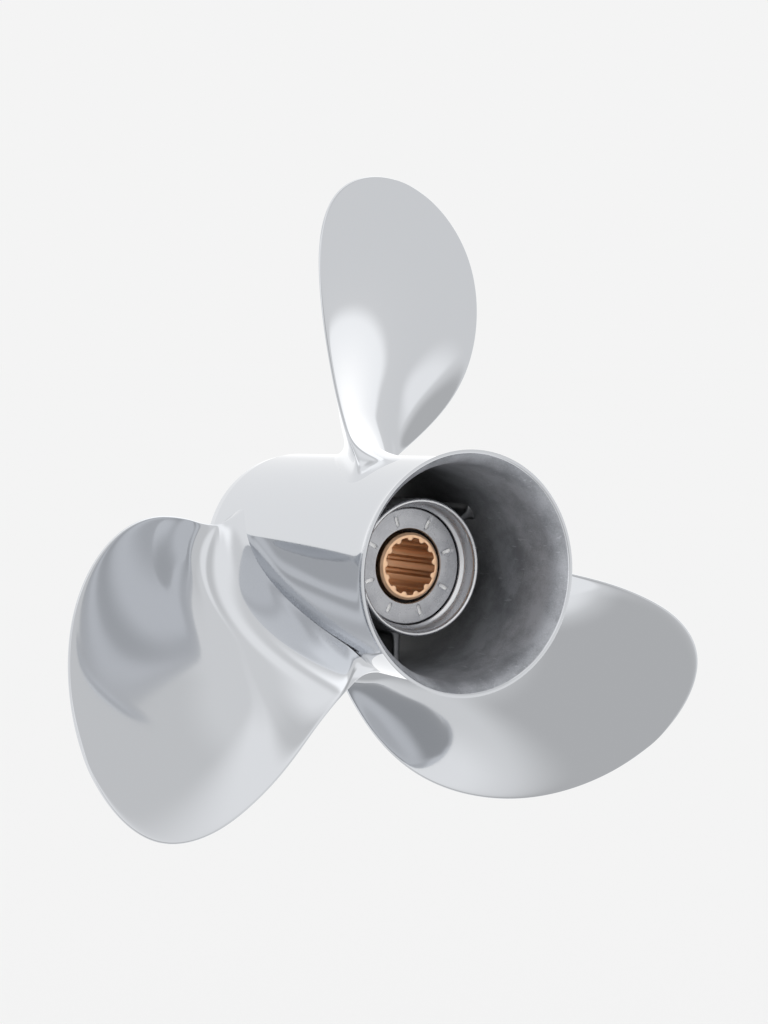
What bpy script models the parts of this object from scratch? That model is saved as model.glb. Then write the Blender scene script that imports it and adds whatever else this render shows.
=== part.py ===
"""Three-blade right-hand outboard propeller with a rubber-cushioned spline hub.

Metres, +Z up. The shaft runs along Y with +Y forward, towards the boat. The origin is on the
shaft axis at the front end of the spline sleeve, where the thrust washer bears. Angles round
the shaft are measured from +Z towards +X, which is clockwise to someone behind the boat, and
the wheel is drawn with one blade straight up.

Every piece is a solid of its own. Pieces that are cast, welded or bonded together in the real
wheel keep a gap of 0.3 mm here.
"""

import math

import bmesh
import bpy
import numpy as np

MM = 0.001
GAP = 0.3

# Driving dimensions, millimetres. Stations along the shaft are given from the rear rim.
SLEEVE_FRONT = 124.0  # the origin, forward of the rear rim
BARREL_LENGTH = 139.0
RIM_RADIUS = 46.8
NECK_RADIUS = 43.7
NECK_STATION = 9.0
FRONT_RADIUS = 40.2
FRONT_CHAMFER = (5.0, 0.6)  # along the shaft, across it
BARREL_WALL = 3.0
RIM_EDGE = 0.7  # radius of the rounded rear edge

HUB_REAR = 35.2
HUB_FRONT = 122.0
HUB_RADIUS = 26.1
HUB_BORE = 22.9
COUNTERBORE_RADIUS = 24.4
COUNTERBORE_FLOOR = 43.6
LIP_EDGE = 1.4

RING_REAR = 44.2
RING_THICKNESS = 3.0
RING_BORE = 14.4
SLOT_COUNT = 8
SLOT_FIRST_ANGLE = 28.6
SLOT_RADII = (16.0, 20.0)
SLOT_WIDTH = 1.5
SLOT_DEPTH = 1.0

SLEEVE_REAR = 42.8
SLEEVE_RADIUS = 13.1
SLEEVE_CHAMFER = 0.9
TOOTH_COUNT = 13
SPLINE_MAJOR = 11.15
SPLINE_MINOR = 9.85

RUBBER_FRONT = 118.0

RIB_REAR = 52.5
RIB_FRONT = 116.0
RIB_THICKNESS = 3.2
RIB_ANGLES = (60, 180, 300)

BLADE_ANGLES = (0, 120, 240)
BLADE_ROOT = 43.2  # nominal radius where the blade starts
BLADE_TIP = 146.2
BLADE_ROOT_GAP = 0.45  # more than GAP, because flat facets sag between their corners
AFT_FILLET = 16.0  # large on the face that pushes the water
FORWARD_FILLET = 7.0
END_FILLET = 6.0  # round the leading and trailing ends of the root
EDGE_THICKNESS = 1.4
ROOT_THICKNESS = 7.5
TIP_THICKNESS = 2.2
# Blade outline as (angle in degrees, radius), from the trailing root over the tip to the
# leading root.
OUTLINE = (
    (-31.5, 43.2),
    (-27.0, 65.8),
    (-24.3, 89.5),
    (-21.1, 115.2),
    (-17.2, 135.9),
    (-13.2, 146.2),
    (16.0, 135.9),
    (30.2, 115.2),
    (41.0, 89.5),
    (45.0, 65.8),
    (45.0, 43.2),
)
# The blade's middle surface as polynomials in the span fraction (0 at the root, 1 at the tip).
MID_STATION = (105.9, -78.8, 28.5)  # station at angle 0, which falls aft towards the tip
PITCH = (542.0, -268.0, 21.0)  # advance per turn
CAMBER = (-171.0, 133.0, 21.5)  # per (angle / 100 deg) squared
LEADING_DROOP = -69.0  # per (angle / 100 deg) cubed
# The line where it meets the barrel is a plainer helix, blended in below ROOT_REACH.
ROOT_MID_STATION = 84.0
ROOT_PITCH = 428.0
ROOT_CAMBER = -60.0
ROOT_REACH = 0.3

ROUND_STEPS = 96
CHORD_STEPS = 14
SPAN_STEPS = 15
THICKNESS_STEPS = 6
TIP_HALF_WIDTH = 3.0  # of the last mesh row, along the outline
ROOT_ROWS = (0.0, 1.0, 3.4, 6.6, 10.0, 13.4, 17.0)  # heights of the mesh rows in the root fillet

FINISHES = {
    "polished_stainless": ((0.74, 0.75, 0.77), 0.12, 1.0),
    "cast_stainless": ((0.34, 0.35, 0.36), 0.45, 1.0),
    "turned_steel": ((0.52, 0.53, 0.55), 0.3, 1.0),
    "rubber": ((0.015, 0.015, 0.016), 0.75, 0.0),
    "brass": ((0.78, 0.48, 0.25), 0.35, 1.0),
}


# ---------------------------------------------------------------- helpers


def clear_scene():
    for obj in list(bpy.data.objects):
        bpy.data.objects.remove(obj)


def material(name):
    found = bpy.data.materials.get(name)
    if found:
        return found
    colour, roughness, metallic = FINISHES[name]
    made = bpy.data.materials.new(name)
    made.use_nodes = True
    shader = made.node_tree.nodes["Principled BSDF"]
    shader.inputs["Base Color"].default_value = (*colour, 1.0)
    shader.inputs["Roughness"].default_value = roughness
    shader.inputs["Metallic"].default_value = metallic
    return made


def add_object(name, bm, finish):
    """Turns a bmesh in millimetres, measured from the rear rim, into a named object in metres."""
    bmesh.ops.translate(bm, vec=(0.0, -SLEEVE_FRONT, 0.0), verts=bm.verts)
    bmesh.ops.scale(bm, vec=(MM, MM, MM), verts=bm.verts)
    bmesh.ops.recalc_face_normals(bm, faces=bm.faces)
    mesh = bpy.data.meshes.new(name)
    bm.to_mesh(mesh)
    bm.free()
    mesh.shade_smooth()
    mesh.set_sharp_from_angle(angle=math.radians(35.0))
    mesh.materials.append(material(finish))
    obj = bpy.data.objects.new(name, mesh)
    bpy.context.scene.collection.objects.link(obj)
    return obj


def polar(radius, angle, station):
    turn = math.radians(angle)
    return (radius * math.sin(turn), station, radius * math.cos(turn))


def rounded(centre, radius, start, end, steps=3):
    """Points of an arc in the (station, radius) plane, angles in degrees from +station."""
    points = []
    for angle in np.linspace(math.radians(start), math.radians(end), steps + 1):
        points.append((centre[0] + radius * math.cos(angle), centre[1] + radius * math.sin(angle)))
    return points


def turned(name, outline, finish, steps=ROUND_STEPS):
    """Spins a closed (station, radius) outline once round the shaft."""
    bm = bmesh.new()
    verts = [bm.verts.new((0.0, station, radius)) for station, radius in outline]
    edges = [bm.edges.new((a, b)) for a, b in zip(verts, verts[1:] + verts[:1])]
    bmesh.ops.spin(
        bm,
        geom=verts + edges,
        cent=(0.0, 0.0, 0.0),
        axis=(0.0, 1.0, 0.0),
        angle=2 * math.pi,
        steps=steps,
        use_merge=True,
    )
    bmesh.ops.remove_doubles(bm, verts=bm.verts, dist=0.001)
    return add_object(name, bm, finish)


def extruded(name, rings, finish):
    """Skins closed loops of points, each joined to the next, and the last to the first."""
    bm = bmesh.new()
    loops = [[bm.verts.new(point) for point in ring] for ring in rings]
    for near, far in zip(loops, loops[1:] + loops[:1]):
        for a, b, c, d in zip(near, near[1:] + near[:1], far[1:] + far[:1], far):
            bm.faces.new((a, b, c, d))
    return add_object(name, bm, finish)


# ---------------------------------------------------------------- barrel and hub


def barrel_outer(station):
    """Outer radius of the exhaust barrel: a short flare at the rear, then a slight taper."""
    if station < NECK_STATION:
        rise = 1.0 - station / NECK_STATION
        return NECK_RADIUS + (RIM_RADIUS - NECK_RADIUS) * rise * rise
    run = (station - NECK_STATION) / (BARREL_LENGTH - NECK_STATION)
    return NECK_RADIUS + (FRONT_RADIUS - NECK_RADIUS) * run


def barrel_inner(station):
    """The bore follows the outside, and thins to a rounded edge at the rim."""
    wall = BARREL_WALL - (BARREL_WALL - 2 * RIM_EDGE) * math.exp(-station / NECK_STATION)
    return barrel_outer(station) - wall


def outer_barrel():
    stations = (2.0, 4.0, 6.5, 9.0, 30.0, 60.0, 95.0, BARREL_LENGTH - FRONT_CHAMFER[0])
    rim_centre = (RIM_EDGE, RIM_RADIUS - RIM_EDGE)
    outline = rounded(rim_centre, RIM_EDGE, 270, 90, 4)
    outline += [(s, barrel_outer(s)) for s in stations]
    outline.append((BARREL_LENGTH, FRONT_RADIUS - FRONT_CHAMFER[1]))
    outline.append((BARREL_LENGTH, barrel_inner(BARREL_LENGTH)))
    outline += [(s, barrel_inner(s)) for s in reversed(stations)]
    return turned("outer_barrel", outline, "polished_stainless")


def inner_hub():
    """Tube that the cushion is pressed into, with a polished counterbore behind it."""
    lip_out = (HUB_REAR + LIP_EDGE, HUB_RADIUS - LIP_EDGE)
    outline = rounded(lip_out, LIP_EDGE, 180, 90)
    outline.append((HUB_FRONT, HUB_RADIUS))
    outline.append((HUB_FRONT, HUB_BORE))
    outline.append((COUNTERBORE_FLOOR, HUB_BORE))
    outline.append((COUNTERBORE_FLOOR - 0.6, HUB_BORE + 0.6))
    outline.append((COUNTERBORE_FLOOR - 4.0, HUB_BORE + 0.7))
    outline.append((HUB_REAR + LIP_EDGE, COUNTERBORE_RADIUS))
    return turned("inner_hub", outline, "cast_stainless", 72)


def rib(number, angle):
    """Radial web across the exhaust passage, from the hub to the barrel."""
    inner = HUB_RADIUS + GAP
    sides = ((RIB_REAR, 0.5), (RIB_REAR + 1.2, 1.0), (RIB_FRONT - 1.2, 1.0), (RIB_FRONT, 0.5))
    rings = []
    for station, share in sides:
        half = 0.5 * RIB_THICKNESS * share
        outer = barrel_inner(station) - 2 * GAP
        corners = ((-half, inner), (half, inner), (half, outer), (-half, outer))
        rings.append([(x, station, z) for x, z in corners])
    bm = bmesh.new()
    loops = [[bm.verts.new(point) for point in ring] for ring in rings]
    for near, far in zip(loops, loops[1:]):
        for a, b, c, d in zip(near, near[1:] + near[:1], far[1:] + far[:1], far):
            bm.faces.new((a, b, c, d))
    bm.faces.new(loops[0])
    bm.faces.new(loops[-1])
    obj = add_object(f"rib_{number}", bm, "cast_stainless")
    obj.rotation_euler.y = math.radians(angle)
    return obj


# ---------------------------------------------------------------- cushion hub


def slot_cutter():
    """Eight round-ended keys, just proud of the ring's rear face."""
    bm = bmesh.new()
    half = 0.5 * SLOT_WIDTH
    for index in range(SLOT_COUNT):
        turn = math.radians(SLOT_FIRST_ANGLE + index * 360.0 / SLOT_COUNT)
        ends = []
        for radius, start in ((SLOT_RADII[1] - half, 0.0), (SLOT_RADII[0] + half, 180.0)):
            for angle in np.radians(np.linspace(start, start + 180.0, 5)):
                across = half * math.cos(angle)
                along = radius + half * math.sin(angle)
                x = along * math.sin(turn) + across * math.cos(turn)
                z = along * math.cos(turn) - across * math.sin(turn)
                ends.append((x, z))
        top = [bm.verts.new((x, RING_REAR - 0.5, z)) for x, z in ends]
        floor = [bm.verts.new((x, RING_REAR + SLOT_DEPTH, z)) for x, z in ends]
        bm.faces.new(top)
        bm.faces.new(floor)
        for a, b, c, d in zip(top, top[1:] + top[:1], floor[1:] + floor[:1], floor):
            bm.faces.new((a, b, c, d))
    cutter = add_object("slot_cutter", bm, "turned_steel")
    cutter.hide_render = True
    cutter.display_type = "WIRE"
    return cutter


def hub_end_ring():
    """Ring pressed into the hub behind the rubber, with eight shallow radial slots."""
    edge = 0.4
    outer = HUB_BORE - GAP
    front = RING_REAR + RING_THICKNESS
    outline = [
        (RING_REAR, RING_BORE + edge),
        (RING_REAR, outer - edge),
        (RING_REAR + edge, outer),
        (front, outer),
        (front, RING_BORE),
        (RING_REAR + edge, RING_BORE),
    ]
    ring = turned("hub_end_ring", outline, "turned_steel", 72)
    cut = ring.modifiers.new("radial_slots", "BOOLEAN")
    cut.operation = "DIFFERENCE"
    cut.solver = "EXACT"
    cut.object = slot_cutter()
    return ring


def rubber_bushing():
    """Rubber between the sleeve and the hub."""
    inner = SLEEVE_RADIUS + GAP
    outer = HUB_BORE - GAP
    rear = RING_REAR + RING_THICKNESS + GAP
    outline = [(rear, inner), (rear, outer), (RUBBER_FRONT, outer), (RUBBER_FRONT, inner)]
    return turned("rubber_bushing", outline, "rubber", 72)


def spline_section():
    """(angle, radius) points round the bore; the first tooth points down from the top."""
    points = []
    pitch = 360.0 / TOOTH_COUNT
    tooth = ((-0.25, 0.0), (-0.17, 0.7), (-0.10, 1.0), (0.10, 1.0), (0.17, 0.7), (0.25, 0.0))
    for index in range(TOOTH_COUNT):
        for share, height in tooth:
            radius = SPLINE_MAJOR - (SPLINE_MAJOR - SPLINE_MINOR) * height
            points.append(((index + share) * pitch, radius))
        points.append(((index + 0.5) * pitch, SPLINE_MAJOR))
    return points


def spline_sleeve():
    """Splined sleeve that slides over the propeller shaft."""
    section = spline_section()
    chamfer = SLEEVE_CHAMFER
    ends = (
        (SLEEVE_REAR, SLEEVE_RADIUS - chamfer),
        (SLEEVE_REAR + chamfer, SLEEVE_RADIUS),
        (SLEEVE_FRONT - chamfer, SLEEVE_RADIUS),
        (SLEEVE_FRONT, SLEEVE_RADIUS - chamfer),
    )
    rings = [[polar(radius, angle, station) for angle, _ in section] for station, radius in ends]
    rings.append([polar(radius, angle, SLEEVE_FRONT) for angle, radius in section])
    rings.append([polar(radius, angle, SLEEVE_REAR) for angle, radius in section])
    return extruded("spline_sleeve", rings, "brass")


# ---------------------------------------------------------------- blades


def polynomial(terms, value):
    return sum(term * value**power for power, term in enumerate(terms))


def cubic_through(points, lengths, where):
    """Natural cubic spline through points at the given lengths, read at each place in where."""
    points = np.asarray(points, float)
    steps = np.diff(lengths)
    count = len(points)
    system = np.eye(count)
    right = np.zeros_like(points)
    for i in range(1, count - 1):
        system[i, i - 1 : i + 2] = (steps[i - 1], 2 * (steps[i - 1] + steps[i]), steps[i])
        slope_after = (points[i + 1] - points[i]) / steps[i]
        slope_before = (points[i] - points[i - 1]) / steps[i - 1]
        right[i] = 6 * (slope_after - slope_before)
    bend = np.linalg.solve(system, right)
    spans = np.clip(np.searchsorted(lengths, where, side="right") - 1, 0, count - 2)
    step = steps[spans][:, None]
    before = (where - lengths[spans])[:, None]
    after = step - before
    curve = (bend[spans] * after**3 + bend[spans + 1] * before**3) / (6 * step)
    curve += (points[spans] / step - bend[spans] * step / 6) * after
    curve += (points[spans + 1] / step - bend[spans + 1] * step / 6) * before
    return curve


def blade_edges():
    """(angle, radius) of the trailing and leading edges, row by row from root to tip."""
    points = np.array(OUTLINE)
    arc = np.diff(points[:, 0]) * 1.75
    lengths = np.concatenate([[0.0], np.cumsum(np.hypot(arc, np.diff(points[:, 1])))])
    last = ROOT_ROWS[-1]
    crowding = np.sin(0.5 * np.pi * np.linspace(0.0, 1.0, SPAN_STEPS + 1)[1:])
    rows = last + (0.5 * lengths[-1] - TIP_HALF_WIDTH - last) * crowding
    rows = np.concatenate([ROOT_ROWS, rows])
    trailing = cubic_through(points, lengths, rows)
    leading = cubic_through(points, lengths, lengths[-1] - rows)
    return trailing, leading


def span_share(radius):
    return (radius - BLADE_ROOT) / (BLADE_TIP - BLADE_ROOT)


def free_station(angle, span):
    part = angle / 100.0
    station = polynomial(MID_STATION, span) + polynomial(PITCH, span) * angle / 360.0
    return station + polynomial(CAMBER, span) * part**2 + LEADING_DROOP * part**3


def middle_station(angle, radius):
    """Station of the blade's middle surface."""
    span = span_share(radius)
    root = ROOT_MID_STATION + ROOT_PITCH * angle / 360.0 + ROOT_CAMBER * (angle / 100.0) ** 2
    blend = max(0.0, 1.0 - span / ROOT_REACH) ** 2
    return free_station(angle, span) + (root - free_station(angle, 0.0)) * blend


def middle_point(angle, radius):
    return np.array(polar(radius, angle, middle_station(angle, radius)))


def forward_normal(angle, radius):
    """Unit normal of the middle surface that points forward."""
    along_chord = middle_point(angle + 0.1, radius) - middle_point(angle - 0.1, radius)
    along_span = middle_point(angle, radius + 0.1) - middle_point(angle, radius - 0.1)
    normal = np.cross(along_chord, along_span)
    normal /= np.linalg.norm(normal)
    return normal if normal[1] > 0 else -normal


def blade_thickness(radius, chord_share):
    span = min(1.0, max(0.0, span_share(radius)))
    most = TIP_THICKNESS + (ROOT_THICKNESS - TIP_THICKNESS) * (1.0 - span) ** 1.3
    belly = (4 * chord_share * (1 - chord_share)) ** 0.7
    return EDGE_THICKNESS + (most - EDGE_THICKNESS) * belly


def fillet_width(fillet, height):
    """How far a quarter-round fillet spreads at this height over the barrel."""
    left = max(0.0, 1.0 - height / fillet)
    return fillet * (1.0 - math.sqrt(1.0 - left * left))


def near_barrel(point, height):
    """Moves a point in or out to its height over the barrel, less and less up the fillet."""
    radius = math.hypot(point[0], point[2])
    free = min(1.0, height / AFT_FILLET)
    hold = 1.0 - free * free * (3.0 - 2.0 * free)
    wanted = radius + (barrel_outer(point[1]) + BLADE_ROOT_GAP + height - radius) * hold
    return np.array((point[0] * wanted / radius, point[1], point[2] * wanted / radius))


def blade_point(trailing, leading, height, chord_share, depth_share):
    """One point of the blade block: 0 to 1 from trailing to leading, and from aft to forward."""
    chord = np.linalg.norm(middle_point(*leading) - middle_point(*trailing))
    end = fillet_width(END_FILLET, height)
    beyond = (2 * chord_share - 1) * end / chord
    angle, radius = trailing + (leading - trailing) * (chord_share + beyond)
    side = 2 * depth_share - 1
    width = fillet_width(AFT_FILLET if side < 0 else FORWARD_FILLET, height)
    blunt = end + 0.5 * EDGE_THICKNESS
    inside = min(chord_share, 1 - chord_share) * (chord + 2 * end)
    left = max(0.0, 1.0 - inside / blunt)
    round_end = max(0.3, math.sqrt(1.0 - left * left))
    offset = (0.5 * blade_thickness(radius, chord_share) + width * round_end) * side
    point = middle_point(angle, radius) + forward_normal(angle, radius) * offset
    return near_barrel(point, height)


def blade_block():
    """Points of a blade as a block of span rows, chord columns and depth layers."""
    trailing, leading = blade_edges()
    rows = []
    for row, (tail, lead) in enumerate(zip(trailing, leading)):
        height = ROOT_ROWS[row] if row < len(ROOT_ROWS) else AFT_FILLET
        columns = []
        for column in range(CHORD_STEPS + 1):
            share = 0.5 - 0.5 * math.cos(math.pi * column / CHORD_STEPS)
            layers = np.linspace(0.0, 1.0, THICKNESS_STEPS + 1)
            columns.append([blade_point(tail, lead, height, share, s) for s in layers])
        rows.append(columns)
    block = np.array(rows)
    round_edges(block)
    return block


def round_edges(block):
    """Draws the corners of the leading, trailing and tip edges in by half their thickness."""
    depth = np.linspace(0.0, math.pi, THICKNESS_STEPS + 1)
    inset = 0.5 * EDGE_THICKNESS * (1.0 - np.sin(depth))[None, :, None]
    for edge, inside in ((0, 1), (-1, -2)):
        inward = block[:, inside] - block[:, edge]
        inward /= np.linalg.norm(inward, axis=-1, keepdims=True)
        block[len(ROOT_ROWS) :, edge] += (inward * inset)[len(ROOT_ROWS) :]
    inward = block[-2] - block[-1]
    inward /= np.linalg.norm(inward, axis=-1, keepdims=True)
    block[-1] += inward * inset


def block_faces(bm, block):
    """Skins the six outer sides of a block of points."""
    made = {}

    def vertex(i, j, k):
        if (i, j, k) not in made:
            made[i, j, k] = bm.verts.new(block[i, j, k])
        return made[i, j, k]

    ends = [size - 1 for size in block.shape[:3]]
    for axis in range(3):
        first, second = [other for other in range(3) if other != axis]
        for side in (0, ends[axis]):
            for a in range(ends[first]):
                for b in range(ends[second]):
                    corners = []
                    for step_a, step_b in ((0, 0), (1, 0), (1, 1), (0, 1)):
                        index = [0, 0, 0]
                        index[axis] = side
                        index[first] = a + step_a
                        index[second] = b + step_b
                        corners.append(vertex(*index))
                    bm.faces.new(corners)


def blades():
    """Three alike blades, each a third of a turn on."""
    block = blade_block()
    for number, angle in enumerate(BLADE_ANGLES, start=1):
        bm = bmesh.new()
        block_faces(bm, block)
        blade = add_object(f"blade_{number}", bm, "polished_stainless")
        blade.rotation_euler.y = math.radians(angle)


def main():
    clear_scene()
    outer_barrel()
    inner_hub()
    for number, angle in enumerate(RIB_ANGLES, start=1):
        rib(number, angle)
    blades()
    hub_end_ring()
    rubber_bushing()
    spline_sleeve()


main()
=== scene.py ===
"""Dressed model of a three-blade stainless outboard propeller with a rubber-cushioned hub.

Everything is in metres, +Z up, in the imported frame: the shaft runs along Y with +Y forward, and
the origin is on the shaft axis at the front end of the spline sleeve. Sizes in the classes are in
millimetres, and stations count forward from the rear rim. Angles round the shaft are measured
from +Z towards +X.
"""

from __future__ import annotations

import logging
import math
from dataclasses import dataclass, field
from enum import Enum
from typing import Sequence, Union

import bmesh
import bpy
import numpy as np
from mathutils import Matrix, Vector


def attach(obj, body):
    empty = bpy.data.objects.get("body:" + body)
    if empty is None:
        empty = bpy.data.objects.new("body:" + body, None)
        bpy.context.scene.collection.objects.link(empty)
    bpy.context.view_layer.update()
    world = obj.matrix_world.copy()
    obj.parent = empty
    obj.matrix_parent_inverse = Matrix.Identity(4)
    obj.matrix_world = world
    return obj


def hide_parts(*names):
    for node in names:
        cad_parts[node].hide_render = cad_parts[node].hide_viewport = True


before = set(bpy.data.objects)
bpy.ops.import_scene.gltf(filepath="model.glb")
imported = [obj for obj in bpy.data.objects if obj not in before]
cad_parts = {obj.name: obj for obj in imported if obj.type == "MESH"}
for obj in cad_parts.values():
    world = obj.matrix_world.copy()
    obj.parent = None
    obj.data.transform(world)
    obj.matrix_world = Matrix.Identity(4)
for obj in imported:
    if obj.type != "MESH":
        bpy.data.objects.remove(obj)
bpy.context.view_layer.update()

MM = 0.001
RIM_TO_ORIGIN = 124.0
MERGE = 1e-6

Node = bpy.types.Node
Socket = bpy.types.NodeSocket
Colour = tuple[float, float, float, float]
Pair = tuple[float, float]

log = logging.getLogger("propeller")


class Body(Enum):
    """The bodies of the frame that pieces ride on."""

    SLEEVE = "shaft_sleeve"
    CUSHION = "cushion"
    WHEEL = "wheel"


class Slot(Enum):
    """The record's material slots."""

    POLISHED = "polished_stainless"
    CAST = "cast_stainless"
    TURNED = "turned_steel"
    RUBBER = "rubber"
    BRASS = "brass"


# ---------------------------------------------------------------- shader sheets


class Amount:
    """A number that varies over a surface, so that shader maths is written as plain sums."""

    def __init__(self, sheet: "Sheet", socket: Socket) -> None:
        """Wraps one output socket of a sheet."""
        self.sheet = sheet
        self.socket = socket

    def __add__(self, other: "Number") -> "Amount":
        """Sum."""
        return self.sheet.math("ADD", self, other)

    __radd__ = __add__

    def __sub__(self, other: "Number") -> "Amount":
        """Difference."""
        return self.sheet.math("SUBTRACT", self, other)

    def __rsub__(self, other: "Number") -> "Amount":
        """Reflected difference."""
        return self.sheet.math("SUBTRACT", other, self)

    def __mul__(self, other: "Number") -> "Amount":
        """Product."""
        return self.sheet.math("MULTIPLY", self, other)

    __rmul__ = __mul__

    def __truediv__(self, other: "Number") -> "Amount":
        """Quotient."""
        return self.sheet.math("DIVIDE", self, other)

    def __pow__(self, other: "Number") -> "Amount":
        """Power."""
        return self.sheet.math("POWER", self, other)

    def at_least(self, floor: "Number") -> "Amount":
        """The greater of this and floor."""
        return self.sheet.math("MAXIMUM", self, floor)

    def step(self, start: float, end: float) -> "Amount":
        """A smooth step of this amount, 0 at start and 1 at end.

        Args:
            start: where the step is 0.
            end: where the step is 1; it may be below start, which turns the step round.

        Returns:
            The step, between 0 and 1.
        """
        low, high, flip = (start, end, False) if start < end else (end, start, True)
        node = self.sheet.node(
            "ShaderNodeMapRange",
            {"interpolation_type": "SMOOTHSTEP"},
            {"Value": self, "From Min": low, "From Max": high},
        )
        rise = Amount(self.sheet, node.outputs["Result"])
        return 1.0 - rise if flip else rise


Number = Union[Amount, float]


class Sheet:
    """The node tree of one material or world, and the ways to add to it."""

    def __init__(self, tree: bpy.types.NodeTree) -> None:
        """Starts on an empty tree."""
        self.tree = tree
        tree.nodes.clear()

    def node(self, kind: str, settings: dict | None = None, sockets: dict | None = None) -> Node:
        """Adds a node.

        Args:
            kind: the node's type.
            settings: its own properties, which are set first.
            sockets: values or links for its inputs, by name or by number.

        Returns:
            The new node.
        """
        made = self.tree.nodes.new(kind)
        for name, value in (settings or {}).items():
            setattr(made, name, value)
        for key, value in (sockets or {}).items():
            source = getattr(value, "socket", value)
            if isinstance(source, Socket):
                self.tree.links.new(source, made.inputs[key])
            else:
                made.inputs[key].default_value = source
        return made

    def math(self, operation: str, *values: Number) -> Amount:
        """One Math node.

        Args:
            operation: the node's operation.
            values: its operands.

        Returns:
            The result.
        """
        made = self.node("ShaderNodeMath", {"operation": operation}, dict(enumerate(values)))
        return Amount(self, made.outputs[0])

    def vector(self, operation: str, *values: object) -> Socket:
        """One Vector Math node, giving its vector."""
        made = self.node("ShaderNodeVectorMath", {"operation": operation}, dict(enumerate(values)))
        return made.outputs["Vector"]

    def split(self, vector: Socket) -> tuple[Amount, Amount, Amount]:
        """Takes a vector apart.

        Args:
            vector: the vector.

        Returns:
            Its three components.
        """
        made = self.node("ShaderNodeSeparateXYZ", None, {"Vector": vector})
        x, y, z = (Amount(self, out) for out in made.outputs)
        return x, y, z

    def noise(self, where: Socket, scale: float, detail: float = 2.0, rough: float = 0.5) -> Amount:
        """Soft noise round 0.5.

        Args:
            where: the coordinates.
            scale: features per metre.
            detail: octaves.
            rough: share of each finer octave.

        Returns:
            The noise, mostly between 0.25 and 0.75.
        """
        made = self.node(
            "ShaderNodeTexNoise",
            None,
            {"Vector": where, "Scale": scale, "Detail": detail, "Roughness": rough},
        )
        return Amount(self, made.outputs["Fac"])

    def blend(self, share: Number, first: object, second: object) -> Socket:
        """Mixes two colours.

        Args:
            share: 0 for the first colour and 1 for the second.
            first: a colour or a link.
            second: a colour or a link.

        Returns:
            The mixed colour.
        """
        made = self.node("ShaderNodeMix", {"data_type": "RGBA"}, {0: share, 6: first, 7: second})
        return made.outputs[2]


class Coat(Sheet):
    """The sheet of one material, with the coordinates and the shader that a finish works with."""

    def __init__(self, tree: bpy.types.NodeTree, metallic: float, depth: float) -> None:
        """Starts with Object coordinates and a Principled shader.

        Args:
            tree: the material's tree.
            metallic: how far the surface is bare metal.
            depth: height of its relief, in metres.
        """
        super().__init__(tree)
        self.depth = depth
        self.where = self.node("ShaderNodeTexCoord").outputs["Object"]
        self.shader = self.node("ShaderNodeBsdfPrincipled", None, {"Metallic": metallic})
        self.node("ShaderNodeOutputMaterial", None, {"Surface": self.shader.outputs["BSDF"]})

    def drawn(self, share: float) -> Socket:
        """Coordinates that draw a pattern out along the shaft, more so the smaller the share."""
        return self.vector("MULTIPLY", self.where, (1.0, share, 1.0))

    def round_shaft(self) -> tuple[Amount, Amount]:
        """Reads the place as a turner would.

        Returns:
            The radius and the station, in millimetres.
        """
        x, y, z = self.split(self.where)
        return (x * x + z * z) ** 0.5 / MM, y / MM + RIM_TO_ORIGIN

    def link(self, name: str, source: Socket) -> None:
        """Links a value or a colour to one of the shader's sockets."""
        self.tree.links.new(source, self.shader.inputs[name])

    def feed(self, colour: Socket, roughness: Amount, height: Amount) -> None:
        """Links colour, roughness and relief to the shader.

        Args:
            colour: base colour.
            roughness: roughness.
            height: height of the relief, in units of depth.
        """
        bump = self.node("ShaderNodeBump", None, {"Height": height, "Distance": self.depth})
        self.link("Base Color", colour)
        self.link("Roughness", roughness.socket)
        self.link("Normal", bump.outputs["Normal"])


def grey(level: float, warmth: float = 0.0) -> Colour:
    """A near-neutral colour.

    Args:
        level: its brightness.
        warmth: how far red goes up and blue goes down.

    Returns:
        The colour with full alpha.
    """
    return (level * (1 + warmth), level, level * (1 - warmth), 1.0)


# ---------------------------------------------------------------- finishes

POLISHED_SHADE = (0.615, 0.63, 0.655, 1.0)
# Painted shade: a near black mixed into the cast surfaces deeper down the exhaust passage, standing
# in for the shade there.
PAINTED_SHADE = grey(0.02, warmth=-0.1)
PAINTED_SHADE_SHARE = 0.93
CAST_RELIEF = 3.0


@dataclass(frozen=True)
class Finish:
    """A finish that is painted by node maths on Object coordinates.

    depth is the height of its relief, in metres.
    """

    name: str
    metallic: float = 1.0
    depth: float = 4e-6

    def made(self) -> bpy.types.Material:
        """Makes the material once, and finds it by name after that.

        Returns:
            The material.
        """
        found = bpy.data.materials.get(self.name)
        if found:
            return found
        material = bpy.data.materials.new(self.name)
        material.use_nodes = True
        self.paint(Coat(material.node_tree, self.metallic, self.depth))
        return material

    def paint(self, coat: Coat) -> None:
        """Paints the finish on its coat, each in its own way."""
        raise NotImplementedError


def polish(coat: Coat) -> tuple[Amount, Amount]:
    """Cloudy hand polish, shared by the blades and the outside of the barrel.

    Args:
        coat: the coat to paint on.

    Returns:
        The roughness and a relief of about one.
    """
    cloud = coat.noise(coat.where, scale=28.0, detail=3.0)
    lines = coat.noise(coat.drawn(0.12), scale=1500.0)
    rough = 0.035 + 0.05 * cloud + 0.02 * lines
    waves = coat.noise(coat.where, scale=60.0, detail=1.0)
    return rough, waves + 0.04 * lines


def with_painted_shade(coat: Coat, colour: Socket, station: Amount, reach: Pair) -> Socket:
    """Darkens a colour with painted shade deep in the exhaust passage, from none at the first
    station to most at the second.
    """
    return coat.blend(station.step(*reach) * PAINTED_SHADE_SHARE, colour, PAINTED_SHADE)


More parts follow.
